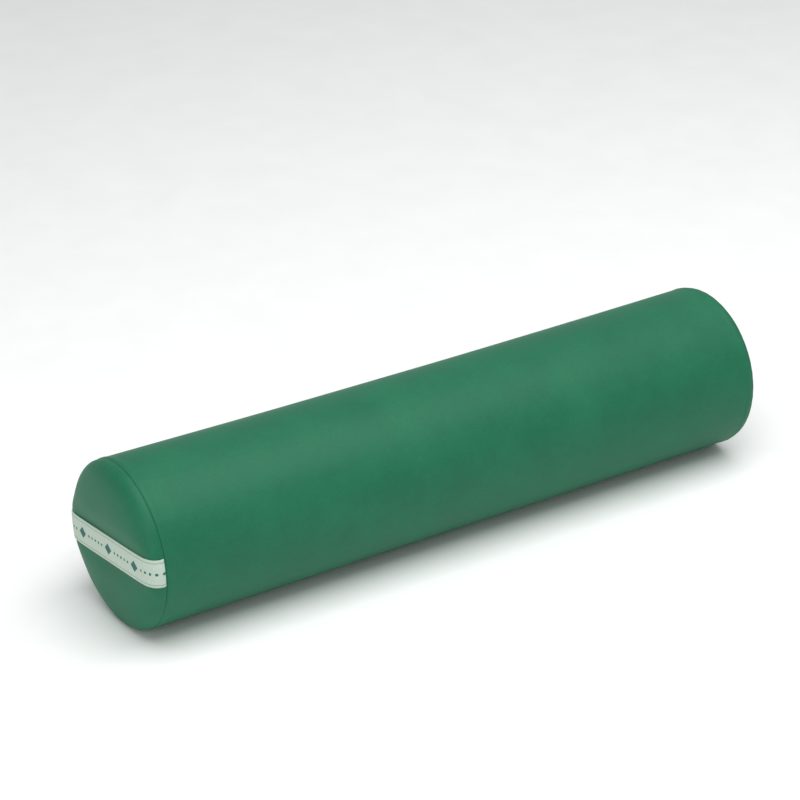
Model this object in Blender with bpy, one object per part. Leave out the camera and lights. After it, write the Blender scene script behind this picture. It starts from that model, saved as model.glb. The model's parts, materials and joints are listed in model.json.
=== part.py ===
"""A full-round massage bolster: a foam roll in a zipped leatherette cover, with a woven carry strap across one end.

The bolster lies along X and rests on a narrow flat that its own weight presses into the roll. The strap end faces -X.
The zip runs along the back, a little above the middle, with its slider closed towards the strap end.
Lengths are in metres and angles in radians. Run it with blender --background --python part.py.
"""

from math import asin, cos, hypot, pi, radians, sin, sqrt

import bmesh
import bpy
from mathutils import Matrix, Vector

# Overall sizes.
BOLSTER_LENGTH = 0.660  # over the two crowned ends
BOLSTER_RADIUS = 0.075
END_CROWN = 0.017  # how far each end stands out past its seam
BASE_HALF_ANGLE = radians(11.25)  # the roll is pressed flat this far each side of its lowest line

# Cover, seams and filling.
COVER_THICKNESS = 0.0012
SEAM_ALLOWANCE = 0.008  # the turned-in edge that a seam is sewn through
SEAM_ROUND = 0.0018  # the soft turn where a panel folds into its seam
OVERLOCK_THICKNESS = 0.0006
OVERLOCK_REACH = 0.0016  # how far the overlock thread wraps up each turned-in edge
LONG_SEAM_BIND_WIDTH = 0.006

# Carry strap.
STRAP_WIDTH = 0.025
STRAP_THICKNESS = 0.0012
STRAP_TAIL = 0.005  # the length of each end that is caught in the seam
STRAP_SLIT_PLAY = 0.0005  # room beside the tail in the end panel's slit
STRAP_TURN = radians(-6.5)  # the roll lies turned a little, so the strap's front end stands higher than its back end

# Zip.
ZIP_ANGLE = radians(112.5)  # where the zip lies, measured from the lowest line round towards the back
ZIP_LENGTH = 0.496  # the coils, from the top stops to the bottom stop
ZIP_SLOT_MARGIN = 0.010  # how far the slot in the cover runs past the coils at each end
ZIP_SLOT_WIDTH = 0.012
TAPE_WIDTH = 0.0145
TAPE_THICKNESS = 0.0006
TAPE_OVERRUN = 0.016  # how far the tapes run past the coils at each end
COIL_WIDTH = 0.0028
COIL_HEIGHT = 0.0018
COIL_HALF_GAP = 0.00055  # half of the space between the two coils, where the slider's post passes
STOP_LENGTH = 0.0037
GUARD_HALF_WIDTH = 0.015
WADDING_GAP_HALF_ANGLE = radians(16.875)  # the wadding stops this far each side of the zip
TOPSTITCH_OFFSET = 0.0035  # from the slot's edge to the row of stitches
THREAD_RADIUS = 0.0003

# Slider and its pull.
SLIDER_LENGTH = 0.012
SLIDER_WIDTH = 0.0095
SLIDER_PLATE = 0.0012
SLIDER_FLANGE = 0.0008
SLIDER_FLANGE_DROP = 0.0014
SLIDER_POST_LENGTH = 0.0025
SLIDER_POST_WIDTH = 0.0005
BRIDGE_LENGTH = 0.0066
BRIDGE_WIDTH = 0.0020
BRIDGE_WALL = 0.0009
BRIDGE_OPENING = 0.0021
PULL_LENGTH = 0.030
PULL_WIDTH = 0.0072
PULL_THICKNESS = 0.0011
PULL_PIN_RADIUS = 0.0005
PULL_ARM = 0.0014
PULL_EYE_LENGTH = 0.0052
PULL_REST_TILT = radians(3)

GAP = 0.0003  # kept between touching pieces
AROUND = 64  # facets round the roll

AXIS_HEIGHT = BOLSTER_RADIUS * cos(BASE_HALF_ANGLE)
ROLL_SHIFT = (GAP + STRAP_THICKNESS) / 2  # centres the whole, because only one end carries a strap
SEAM_X = BOLSTER_LENGTH / 2 - END_CROWN
COVER_INNER = BOLSTER_RADIUS - COVER_THICKNESS
FLANGE_RADIUS = BOLSTER_RADIUS - SEAM_ALLOWANCE
OVERLOCK_RADIUS = FLANGE_RADIUS - GAP - OVERLOCK_THICKNESS
FOAM_RADIUS = OVERLOCK_RADIUS - GAP
WADDING_INNER = FOAM_RADIUS + GAP
WADDING_OUTER = COVER_INNER - GAP

TAPE_TOP = COVER_INNER - GAP
TAPE_BOTTOM = TAPE_TOP - TAPE_THICKNESS
COIL_BOTTOM = TAPE_TOP + GAP
COIL_TOP = COIL_BOTTOM + COIL_HEIGHT
COIL_OUTER = COIL_HALF_GAP + COIL_WIDTH
SLIDER_BOTTOM = sqrt(TAPE_BOTTOM**2 - SLIDER_WIDTH**2 / 4) - GAP - SLIDER_PLATE
SLIDER_ROOF = COIL_TOP + GAP
SLIDER_TOP = SLIDER_ROOF + SLIDER_PLATE
STOP_X = -ZIP_LENGTH / 2 - GAP  # the top stops' faces that the closed slider rests against
SLIDER_X = STOP_X + GAP + SLIDER_LENGTH / 2
PULL_AXIS_RADIUS = SLIDER_TOP + BRIDGE_OPENING / 2


def leatherette():
    return new_material("green_leatherette", (0.045, 0.165, 0.092), 0.5)


def new_material(name, colour, roughness, metallic=0.0):
    """A Principled material, made once and shared by every piece that names it."""
    material = bpy.data.materials.get(name)
    if material:
        return material
    material = bpy.data.materials.new(name)
    material.use_nodes = True
    shader = material.node_tree.nodes["Principled BSDF"]
    shader.inputs["Base Color"].default_value = (*colour, 1.0)
    shader.inputs["Roughness"].default_value = roughness
    shader.inputs["Metallic"].default_value = metallic
    material.diffuse_color = (*colour, 1.0)
    return material


def add_object(name, mesh, material, parent):
    mesh.materials.append(material)
    piece = bpy.data.objects.new(name, mesh)
    bpy.context.scene.collection.objects.link(piece)
    piece.parent = parent
    return piece


def finish_mesh(bm, name, smooth_angle=radians(35)):
    """Closes a bmesh into a mesh with outward faces, smooth except at its real edges."""
    bmesh.ops.remove_doubles(bm, verts=bm.verts, dist=1e-6)
    bmesh.ops.recalc_face_normals(bm, faces=bm.faces)
    mesh = bpy.data.meshes.new(name)
    bm.to_mesh(mesh)
    bm.free()
    mesh.shade_smooth()
    mesh.set_sharp_from_angle(angle=smooth_angle)
    return mesh


def press_base_flat(bm):
    """Presses the lowest stretch of a turned piece flat, by the same angle at every radius."""
    for vert in bm.verts:
        radius = hypot(vert.co.y, vert.co.z)
        if vert.co.z < -radius * cos(BASE_HALF_ANGLE + radians(0.2)):
            vert.co.z = -radius * cos(BASE_HALF_ANGLE)


def turned(name, profile, material, parent, on_axis=True):
    """A solid turned round X from (x, radius) points. A profile that is off the axis closes on itself."""
    bm = bmesh.new()
    verts = [bm.verts.new((x, 0, -radius)) for x, radius in profile]
    pairs = list(zip(verts, verts[1:]))
    if not on_axis:
        pairs.append((verts[-1], verts[0]))
    edges = [bm.edges.new(pair) for pair in pairs]
    bmesh.ops.spin(
        bm, geom=verts + edges, cent=(0, 0, 0), axis=(1, 0, 0), angle=2 * pi, steps=AROUND, use_merge=True
    )
    press_base_flat(bm)
    return add_object(name, finish_mesh(bm, name), material, parent)


def part_turned(name, outline, start, sweep, steps, material, parent):
    """A closed (x, radius) outline swept round X from the angle start, which counts from the lowest line to the back."""
    bm = bmesh.new()
    verts = [bm.verts.new((x, radius * sin(start), -radius * cos(start))) for x, radius in outline]
    face = bm.faces.new(verts)
    geometry = list(face.verts) + list(face.edges) + [face]
    bmesh.ops.spin(bm, geom=geometry, cent=(0, 0, 0), axis=(1, 0, 0), angle=sweep, steps=steps)
    press_base_flat(bm)
    return add_object(name, finish_mesh(bm, name), material, parent)


def strip(name, x_range, radii, sides, steps, material, parent):
    """A strip that follows the roll beside the zip: sides are its edges' distances from the zip's middle line."""
    (x_low, x_high), (inner, outer) = x_range, radii
    start, end = (asin(side / inner) for side in sides)
    outline = [(x_low, inner), (x_high, inner), (x_high, outer), (x_low, outer)]
    return part_turned(name, outline, ZIP_ANGLE + start, end - start, steps, material, parent)


def box(bm, low, high):
    """Adds a closed box between two corners to a bmesh and returns its vertices."""
    made = bmesh.ops.create_cube(bm, size=1.0)["verts"]
    size = Vector(high) - Vector(low)
    middle = (Vector(high) + Vector(low)) / 2
    for vert in made:
        vert.co = Vector(a * b for a, b in zip(vert.co, size)) + middle
    return made


def box_piece(name, low, high, material, parent, bevel=0.0):
    bm = bmesh.new()
    box(bm, low, high)
    if bevel:
        bmesh.ops.bevel(bm, geom=list(bm.edges), offset=bevel, segments=2, affect="EDGES", profile=0.5)
    return add_object(name, finish_mesh(bm, name), material, parent)


def cut(piece, low, high, parent):
    """Cuts a box-shaped hole in a piece."""
    cutter = box_piece(f"{piece.name}_cutter_{len(piece.modifiers)}", low, high, leatherette(), parent)
    cutter.hide_render = True
    cutter.display_type = "WIRE"
    modifier = piece.modifiers.new("cut", "BOOLEAN")
    modifier.operation = "DIFFERENCE"
    modifier.object = cutter


def crown_profile(rim, height, points=8):
    """(outward, radius) points of a crowned end from its middle to its rim, flat in the middle and full at the edge."""
    shares = [sin(pi / 2 * i / (points - 1)) for i in range(points)]
    return [(height * (1 - share**4.5) ** 0.425, rim * share) for share in shares]


def offset_inward(profile, distance):
    """The (outward, radius) profile moved in by a distance, square to itself."""
    moved = []
    for i, point in enumerate(profile):
        before = profile[max(i - 1, 0)]
        after = profile[min(i + 1, len(profile) - 1)]
        run, rise = after[0] - before[0], after[1] - before[1]
        length = hypot(run, rise)
        moved.append((point[0] - distance * rise / length, point[1] + distance * run / length))
    moved[0] = (profile[0][0] - distance, 0.0)
    moved[-1] = (profile[-1][0], profile[-1][1] - distance)
    return moved


def panel_crown():
    """The end panel's outer face: (outward from the seam, radius), from the middle to where it turns into the seam."""
    turn = GAP / 2 + SEAM_ROUND
    return [(turn + out, radius) for out, radius in crown_profile(BOLSTER_RADIUS, END_CROWN - turn)]


def seam_turn(x_face, direction):
    """The rounded fold from a panel's face into its turned-in edge, as (x, radius) points from outside to inside."""
    steps = 3
    return [
        (
            x_face + direction * SEAM_ROUND * (1 - sin(pi / 2 * i / steps)),
            BOLSTER_RADIUS - SEAM_ROUND * (1 - cos(pi / 2 * i / steps)),
        )
        for i in range(1, steps + 1)
    ]


def foam_core(parent):
    foam = new_material("upholstery_foam", (0.83, 0.77, 0.58), 0.95)
    end_x = SEAM_X - SEAM_ROUND
    bevel = 0.004
    profile = [
        (-end_x, 0.0),
        (-end_x, FOAM_RADIUS - bevel),
        (-end_x + bevel, FOAM_RADIUS),
        (end_x - bevel, FOAM_RADIUS),
        (end_x, FOAM_RADIUS - bevel),
        (end_x, 0.0),
    ]
    turned("foam_core", profile, foam, parent)


def wadding(parent):
    """The fibre wrap round the core, which stops short of the zip, and the pad that crowns each end."""
    fibre = new_material("polyester_wadding", (0.86, 0.87, 0.86), 1.0)
    end_x = SEAM_X - GAP / 2 - COVER_THICKNESS - 2 * GAP - OVERLOCK_THICKNESS
    outline = [(-end_x, WADDING_INNER), (end_x, WADDING_INNER), (end_x, WADDING_OUTER), (-end_x, WADDING_OUTER)]
    sweep = 2 * pi - 2 * WADDING_GAP_HALF_ANGLE
    steps = round(AROUND * sweep / (2 * pi))
    part_turned("wadding_wrap", outline, ZIP_ANGLE + WADDING_GAP_HALF_ANGLE, sweep, steps, fibre, parent)
    pad_face = offset_inward(panel_crown(), COVER_THICKNESS + GAP)
    rim = FOAM_RADIUS - GAP
    back = SEAM_X - SEAM_ROUND + GAP
    for name, side in (("strap_end_wadding_pad", -1), ("plain_end_wadding_pad", 1)):
        profile = [(side * (SEAM_X + out), radius) for out, radius in pad_face if radius < rim]
        profile += [(side * (SEAM_X + COVER_THICKNESS + SEAM_ROUND), rim), (side * back, rim), (side * back, 0.0)]
        turned(name, profile, fibre, parent)


def barrel_panel(parent, zip_line):
    """The sheet that wraps the roll. Its long edges meet in a hairline seam, open where the zip is let in."""
    face_x = SEAM_X - GAP / 2
    outer = [(x, r) for x, r in seam_turn(-face_x, 1)]
    outline = [(-face_x, FLANGE_RADIUS)] + outer[::-1] + [(-face_x + SEAM_ROUND, BOLSTER_RADIUS)]
    outline += [(-x, r) for x, r in outline[::-1]]
    inner_x = face_x - COVER_THICKNESS
    outline += [(inner_x, FLANGE_RADIUS), (inner_x, COVER_INNER), (-inner_x, COVER_INNER), (-inner_x, FLANGE_RADIUS)]
    hairline = asin(GAP / 2 / BOLSTER_RADIUS)
    panel = part_turned(
        "barrel_panel", outline, ZIP_ANGLE + hairline, 2 * pi - 2 * hairline, AROUND, leatherette(), parent
    )
    slot_x = ZIP_LENGTH / 2 + ZIP_SLOT_MARGIN
    half = ZIP_SLOT_WIDTH / 2
    cut(panel, (-slot_x, -half, FLANGE_RADIUS), (slot_x, half, BOLSTER_RADIUS + COVER_THICKNESS), zip_line)


def strap_tail_faces():
    """How far from the seam's middle the two faces of the strap's caught ends lie."""
    near = GAP / 2 + GAP
    return near, near + STRAP_THICKNESS


def end_panels(parent, strap_line):
    """The crowned panel at each end. The one under the strap has a slit at each side, where the strap enters the seam."""
    face = panel_crown()
    back = offset_inward(face, COVER_THICKNESS)
    flange_back = GAP / 2 + COVER_THICKNESS
    for name, side in (("strap_end_panel", -1), ("plain_end_panel", 1)):
        profile = [(side * (SEAM_X + out), radius) for out, radius in face]
        profile += seam_turn(side * (SEAM_X + GAP / 2), side)
        profile += [(side * (SEAM_X + GAP / 2), FLANGE_RADIUS), (side * (SEAM_X + flange_back), FLANGE_RADIUS)]
        profile.append((side * (SEAM_X + flange_back), COVER_INNER - COVER_THICKNESS / 2))
        profile += [(side * (SEAM_X + out), radius) for out, radius in back[::-1]]
        panel = turned(name, profile, leatherette(), parent)
        if side < 0:
            cut_strap_slits(panel, strap_line)


def cut_strap_slits(panel, strap_line):
    tail_end = BOLSTER_RADIUS - STRAP_TAIL - GAP
    deep = SEAM_X + strap_tail_faces()[1] + GAP
    half = STRAP_WIDTH / 2 + STRAP_SLIT_PLAY
    outside = BOLSTER_RADIUS + COVER_THICKNESS
    for low, high in ((tail_end, outside), (-outside, -tail_end)):
        cut(panel, (-deep, low, -half), (-SEAM_X + GAP, high, half), strap_line)


def seam_overlock(parent):
    """The thread that binds the two turned-in edges at each end seam, as a ring with a U section."""
    thread = new_material("green_thread", (0.03, 0.12, 0.07), 0.7)
    inside = GAP / 2 + COVER_THICKNESS + GAP
    outside = inside + OVERLOCK_THICKNESS
    reach = FLANGE_RADIUS + OVERLOCK_REACH
    section = [
        (-outside, OVERLOCK_RADIUS),
        (outside, OVERLOCK_RADIUS),
        (outside, reach),
        (inside, reach),
        (inside, FLANGE_RADIUS - GAP),
        (-inside, FLANGE_RADIUS - GAP),
        (-inside, reach),
        (-outside, reach),
    ]
    for name, middle in (("strap_end_seam_overlock", -SEAM_X), ("plain_end_seam_overlock", SEAM_X)):
        turned(name, [(middle + x, radius) for x, radius in section], thread, parent, on_axis=False)


def long_seam_bindings(parent):
    """The thread inside the long seam, past each end of the zip, where the sheet's edges are sewn to each other."""
    thread = new_material("green_thread", (0.03, 0.12, 0.07), 0.7)
    start = ZIP_LENGTH / 2 + TAPE_OVERRUN + GAP
    end = SEAM_X - GAP / 2 - COVER_THICKNESS - GAP
    radii = (COVER_INNER - GAP - OVERLOCK_THICKNESS, COVER_INNER - GAP)
    sides = (-LONG_SEAM_BIND_WIDTH / 2, LONG_SEAM_BIND_WIDTH / 2)
    strip("long_seam_binding_strap_side", (-end, -start), radii, sides, 2, thread, parent)
    strip("long_seam_binding_plain_side", (start, end), radii, sides, 2, thread, parent)


def carry_strap(parent):
    """The woven strap: it hugs the crown from side to side, and its two ends turn in through the seam."""
    webbing = new_material("white_webbing", (0.62, 0.68, 0.62), 0.8)
    face = panel_crown()
    near, far = (offset_inward(face, -distance) for distance in (GAP, GAP + STRAP_THICKNESS))
    tail_near, tail_far = strap_tail_faces()
    near = near + [(tail_far, BOLSTER_RADIUS + GAP), (tail_far, BOLSTER_RADIUS - STRAP_TAIL)]
    far = far + [(tail_near, BOLSTER_RADIUS + GAP + STRAP_THICKNESS), (tail_near, BOLSTER_RADIUS - STRAP_TAIL)]
    round_trip = far[::-1] + [(out, -y) for out, y in far[1:]]
    round_trip += [(out, -y) for out, y in near[:0:-1]] + near
    bm = bmesh.new()
    verts = [bm.verts.new((-(SEAM_X + out), y, -STRAP_WIDTH / 2)) for out, y in round_trip]
    face = bm.faces.new(verts)
    grown = bmesh.ops.extrude_face_region(bm, geom=[face])["geom"]
    raised = [item for item in grown if isinstance(item, bmesh.types.BMVert)]
    bmesh.ops.translate(bm, verts=raised, vec=(0, 0, STRAP_WIDTH))
    add_object("carry_strap", finish_mesh(bm, "carry_strap"), webbing, parent)


def zip_tapes_and_coils(parent):
    """Each side of the zip is a woven tape with a nylon coil along its inner edge. The coils are plain bars here."""
    tape = new_material("green_zip_tape", (0.02, 0.09, 0.05), 0.85)
    nylon = new_material("green_nylon", (0.015, 0.07, 0.04), 0.4)
    tape_x = ZIP_LENGTH / 2 + TAPE_OVERRUN
    coil_x = ZIP_LENGTH / 2
    for side, direction in (("upper", 1), ("lower", -1)):
        tape_sides = (direction * COIL_HALF_GAP, direction * TAPE_WIDTH)
        coil_sides = (direction * COIL_HALF_GAP, direction * COIL_OUTER)
        strip(f"zip_tape_{side}", (-tape_x, tape_x), (TAPE_BOTTOM, TAPE_TOP), tape_sides, 3, tape, parent)
        strip(f"zip_coil_{side}", (-coil_x, coil_x), (COIL_BOTTOM, COIL_TOP), coil_sides, 1, nylon, parent)


def zip_guard(parent):
    """The flap under the zip that keeps the slider off the foam."""
    end = ZIP_LENGTH / 2 + TAPE_OVERRUN
    radii = (WADDING_INNER, SLIDER_BOTTOM - GAP)
    sides = (-GUARD_HALF_WIDTH, GUARD_HALF_WIDTH)
    strip("zip_guard_flap", (-end, end), radii, sides, 4, leatherette(), parent)


def zip_stops(parent):
    nickel = new_material("nickel", (0.55, 0.55, 0.53), 0.3, 1.0)
    low, high = COIL_BOTTOM, COIL_TOP
    outer = COIL_OUTER
    inner = COIL_HALF_GAP
    top_end = STOP_X - STOP_LENGTH
    box_piece("zip_top_stop_upper", (top_end, inner, low), (STOP_X, outer, high), nickel, parent, 0.0003)
    box_piece("zip_top_stop_lower", (top_end, -outer, low), (STOP_X, -inner, high), nickel, parent, 0.0003)
    start = -STOP_X
    box_piece("zip_bottom_stop", (start, -outer, low), (start + STOP_LENGTH, outer, high), nickel, parent, 0.0003)


def topstitch(parent):
    """The one thread that sews the cover to the tapes, in a loop all round the slot."""
    thread = new_material("green_thread", (0.03, 0.12, 0.07), 0.7)
    half_x = ZIP_LENGTH / 2 + ZIP_SLOT_MARGIN + TOPSTITCH_OFFSET
    half_angle = (ZIP_SLOT_WIDTH / 2 + TOPSTITCH_OFFSET) / BOLSTER_RADIUS
    radius = BOLSTER_RADIUS + GAP + THREAD_RADIUS
    across = 6
    angles = [half_angle * (2 * i / across - 1) for i in range(across + 1)]
    points = [(half_x, radius * sin(a), radius * cos(a)) for a in angles]
    points += [(-x, -y, z) for x, y, z in points]
    curve = bpy.data.curves.new("zip_topstitch", "CURVE")
    curve.dimensions = "3D"
    curve.bevel_depth = THREAD_RADIUS
    curve.bevel_resolution = 1
    spline = curve.splines.new("POLY")
    spline.points.add(len(points) - 1)
    spline.use_cyclic_u = True
    for place, point in zip(spline.points, points):
        place.co = (*point, 1)
    add_object("zip_topstitch", curve, thread, parent)


def slider(parent):
    """The slider: a top and a bottom plate joined by a thin post, side flanges, and the bridge that holds the pull."""
    nickel = new_material("nickel", (0.55, 0.55, 0.53), 0.3, 1.0)
    half_x, half_y = SLIDER_LENGTH / 2, SLIDER_WIDTH / 2
    half_post = SLIDER_POST_WIDTH / 2
    seat = SLIDER_ROOF + SLIDER_PLATE / 2  # where pieces that join the top plate start, inside it
    shapes = [
        ((-half_x, -half_y, SLIDER_BOTTOM), (half_x, half_y, SLIDER_BOTTOM + SLIDER_PLATE)),
        (
            (-half_x + 0.001, -half_post, SLIDER_BOTTOM + SLIDER_PLATE / 2),
            (-half_x + 0.001 + SLIDER_POST_LENGTH, half_post, seat),
        ),
    ]
    for side in (-1, 1):
        inner, outer = sorted((side * (half_y - SLIDER_FLANGE), side * half_y))
        shapes.append(((-half_x, inner, SLIDER_ROOF - SLIDER_FLANGE_DROP), (half_x, outer, seat)))
        leg_low, leg_high = sorted((side * BRIDGE_LENGTH / 2, side * (BRIDGE_LENGTH / 2 - BRIDGE_WALL)))
        leg_top = SLIDER_TOP + BRIDGE_OPENING + BRIDGE_WALL / 2
        shapes.append(((leg_low, -BRIDGE_WIDTH / 2, seat), (leg_high, BRIDGE_WIDTH / 2, leg_top)))
    bridge_low = SLIDER_TOP + BRIDGE_OPENING
    shapes.append(
        (
            (-BRIDGE_LENGTH / 2, -BRIDGE_WIDTH / 2, bridge_low),
            (BRIDGE_LENGTH / 2, BRIDGE_WIDTH / 2, bridge_low + BRIDGE_WALL),
        )
    )
    body = box_piece(
        "zip_slider", (-half_x, -half_y, SLIDER_ROOF), (half_x, half_y, SLIDER_TOP), nickel, parent
    )
    body.location.x = SLIDER_X
    for i, (low, high) in enumerate(shapes):
        added = box_piece(f"zip_slider_shape_{i}", low, high, nickel, parent)
        added.location.x = SLIDER_X
        added.hide_render = True
        added.display_type = "WIRE"
        modifier = body.modifiers.new("join", "BOOLEAN")
        modifier.operation = "UNION"
        modifier.object = added


def pull(parent):
    """The pull tab. Its round pin turns under the slider's bridge, and its origin is on that pin's axis."""
    nickel = new_material("nickel", (0.55, 0.55, 0.53), 0.3, 1.0)
    half_y = PULL_WIDTH / 2
    half_z = PULL_THICKNESS / 2
    bm = bmesh.new()
    box(bm, (PULL_EYE_LENGTH, -half_y, -half_z), (PULL_LENGTH, half_y, half_z))
    tab = add_object("zip_pull", finish_mesh(bm, "zip_pull"), nickel, parent)
    rounding = tab.modifiers.new("rounding", "BEVEL")
    rounding.width = PULL_THICKNESS * 0.3
    rounding.segments = 2
    shapes = []
    for side in (-1, 1):
        low, high = sorted((side * (half_y - PULL_ARM), side * half_y))
        shapes.append(box_piece("zip_pull_arm", (0, low, -half_z), (PULL_EYE_LENGTH + 0.001, high, half_z), nickel, parent))
    bm = bmesh.new()
    bmesh.ops.create_cone(
        bm, cap_ends=True, segments=12, radius1=PULL_PIN_RADIUS, radius2=PULL_PIN_RADIUS,
        depth=PULL_WIDTH - PULL_ARM,
    )
    bmesh.ops.rotate(bm, verts=bm.verts, cent=(0, 0, 0), matrix=Matrix.Rotation(pi / 2, 3, "X"))
    shapes.append(add_object("zip_pull_pin", finish_mesh(bm, "zip_pull_pin"), nickel, parent))
    for shape in shapes:
        shape.hide_render = True
        shape.display_type = "WIRE"
        modifier = tab.modifiers.new("join", "BOOLEAN")
        modifier.operation = "UNION"
        modifier.object = shape
    for piece in [tab] + shapes:
        piece.location = (SLIDER_X, 0, PULL_AXIS_RADIUS)
        piece.rotation_euler.y = PULL_REST_TILT


def add_empty(name, parent=None):
    empty = bpy.data.objects.new(name, None)
    bpy.context.scene.collection.objects.link(empty)
    empty.parent = parent
    return empty


def clear_scene():
    for item in list(bpy.data.objects):
        bpy.data.objects.remove(item, do_unlink=True)


def main():
    clear_scene()
    roll = add_empty("roll_axis")
    roll.location = (ROLL_SHIFT, 0, AXIS_HEIGHT)
    zip_line = add_empty("zip_line", roll)  # its own +Z points out of the roll through the zip
    zip_line.rotation_euler.x = ZIP_ANGLE - pi
    strap_line = add_empty("strap_line", roll)  # its own Y runs along the strap, across the roll's end
    strap_line.rotation_euler.x = STRAP_TURN
    foam_core(roll)
    wadding(roll)
    barrel_panel(roll, zip_line)
    end_panels(roll, strap_line)
    seam_overlock(roll)
    long_seam_bindings(roll)
    carry_strap(strap_line)
    zip_tapes_and_coils(roll)
    zip_guard(roll)
    zip_stops(zip_line)
    topstitch(zip_line)
    slider(zip_line)
    pull(zip_line)


main()
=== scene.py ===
"""A full-round massage bolster in green leatherette, with a woven carry strap and a zip along its back.

The roll lies along X on a pale floor. Its strap end faces -X. Lengths are in metres and angles in radians.
"""

import json
from math import atan2, cos, exp, floor, hypot, pi, radians, sin, sqrt

import bmesh
import bpy
from mathutils import Matrix, Vector, noise


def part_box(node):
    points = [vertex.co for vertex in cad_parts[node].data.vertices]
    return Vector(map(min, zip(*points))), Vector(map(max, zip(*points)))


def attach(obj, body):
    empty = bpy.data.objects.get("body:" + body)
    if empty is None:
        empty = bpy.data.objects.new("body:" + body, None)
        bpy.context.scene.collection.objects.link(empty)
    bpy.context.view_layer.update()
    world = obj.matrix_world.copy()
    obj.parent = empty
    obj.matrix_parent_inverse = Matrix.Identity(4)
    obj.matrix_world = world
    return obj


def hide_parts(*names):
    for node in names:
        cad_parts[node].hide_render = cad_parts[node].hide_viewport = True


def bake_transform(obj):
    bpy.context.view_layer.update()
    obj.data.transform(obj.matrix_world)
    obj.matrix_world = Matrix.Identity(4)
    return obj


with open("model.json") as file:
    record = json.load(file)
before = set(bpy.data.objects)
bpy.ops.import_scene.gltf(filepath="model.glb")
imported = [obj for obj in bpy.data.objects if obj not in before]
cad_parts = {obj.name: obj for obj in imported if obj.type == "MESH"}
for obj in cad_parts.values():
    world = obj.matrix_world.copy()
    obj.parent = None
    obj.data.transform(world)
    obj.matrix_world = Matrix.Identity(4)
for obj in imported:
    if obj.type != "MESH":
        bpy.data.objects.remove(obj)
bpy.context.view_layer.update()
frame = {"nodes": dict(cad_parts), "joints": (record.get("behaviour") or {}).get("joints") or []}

# --------------------------------------------------------------------------------------------------
# Camera: a long lens, looking down over the strap end, so that the roll runs across the frame from
# lower left to upper right.

barrel_low, barrel_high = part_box("barrel_panel")
AXIS_Z = barrel_high.z - barrel_high.y
MIDDLE_X = (barrel_low.x + barrel_high.x) / 2
CAMERA_TURN = radians(-33.55)  # from looking straight at the roll's front, round towards its strap end
CAMERA_RISE = radians(26.8)
CAMERA_DISTANCE = 2.66
CAMERA_LENS_MM = 133.0
AIM_RIGHT, AIM_UP = -0.0264, 0.0443  # where the lens points, beside and above the roll's middle

level = Vector((sin(CAMERA_TURN), -cos(CAMERA_TURN), 0))
toward_camera = level * cos(CAMERA_RISE) + Vector((0, 0, sin(CAMERA_RISE)))
right = Vector((cos(CAMERA_TURN), sin(CAMERA_TURN), 0))
up = toward_camera.cross(right)
aim = Vector((MIDDLE_X, 0, AXIS_Z)) + right * AIM_RIGHT + up * AIM_UP
camera = bpy.data.objects.new("camera", bpy.data.cameras.new("camera"))
camera.data.lens = CAMERA_LENS_MM
camera.data.sensor_width = 36.0
camera.location = aim + toward_camera * CAMERA_DISTANCE
camera.rotation_euler = toward_camera.to_track_quat("Z", "Y").to_euler()
bpy.context.scene.collection.objects.link(camera)
bpy.context.scene.camera = camera

# --------------------------------------------------------------------------------------------------
# Barrel sleeve: one sheet of PU leatherette on a knitted backing, rolled into a tube over the foam. Its
# long edges meet along the back, where a slot is left for the zip, and its round edges are sewn to the
# ends. It is tight, so it shows only a slight waist, shallow dimples by the seams and its grain.

FULLNESS = 0.0006  # the filled cover stands this much prouder than the cut size
RADIUS = barrel_high.y + FULLNESS
SHEET_THICKNESS = 0.0012
SEAM_HALF_GAP = 0.00012
SEAM_TUCK = 0.0006  # how deep the surface dives at an end seam
SEAM_TUCK_WIDTH = 0.0012
SEAM_RIDGES = {-1: 0.0005, 1: 0.0004}  # the turned-in edges push the sheet up beside each end seam
SEAM_RIDGE_PLACE = 0.0036
SEAM_RIDGE_WIDTH = 0.0019
SEAM_ALLOWANCE_ROWS = (0.0014, 0.0032, 0.0048)  # the turned-in edge, by its depth below the seam
WAIST_DIP = 0.0024  # the top sinks this far in the middle of the roll
SHEET_DRIFT = 0.00028  # slow unevenness of the foam under the sheet
DRIFTS_ALONG, DRIFTS_ACROSS = 7, 16  # how many of them fit in a metre
DIMPLE_DEPTH = 0.0003
DIMPLE_PLACE = 0.0075
DIMPLE_REACH = 0.011
DIMPLES_AROUND = 46
DIMPLE_WANDER = 2.5  # in half dimples, how far they stray from an even spacing
DIMPLE_MEAN, DIMPLE_SPREAD = 0.55, 0.9
SLOT_HALF_WIDTH = 0.006
SLOT_EDGE_SINK = 0.00025
SLOT_EDGE_WIDTH = 0.0007
STITCH_OFFSET = 0.0095  # from the zip's middle line to each row of topstitching
STITCH_SINK = 0.00025
STITCH_SINK_WIDTH = 0.0008
LONG_SEAM_TUCK = 0.0009
LONG_SEAM_TUCK_WIDTH = 0.0011
LONG_SEAM_START = 0.004  # past the slot, the long seam's tuck comes in over this length
BASE_SOFTNESS = 0.0005  # how softly the flat on the floor begins
SHARP_ANGLE = radians(50)
AROUND_STEP, ALONG_STEP = radians(2.0), 0.006  # mesh rows on the plain stretches of the sheet
# Rows of the mesh, in mm: beside the zip's middle line, in from an end seam, and past the slot's end.
ZIP_ROWS = (0, 0.35, 0.8, 1.5, 2.6, 4.2, 6, 6.3, 6.8, 7.6, 8.5, 9, 9.5, 10, 10.6, 11.8)
SEAM_ROWS = (0, 0.25, 0.6, 1.1, 1.7, 2.4, 3.2, 4.2, 5.4, 6.8, 8.4, 10.4, 13, 16, 20, 25, 31, 38)
SLOT_END_ROWS = (-2.5, 0, 0.3, 0.8, 1.6, 2.5, 3, 3.5, 4, 4.6, 6.5)

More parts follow.
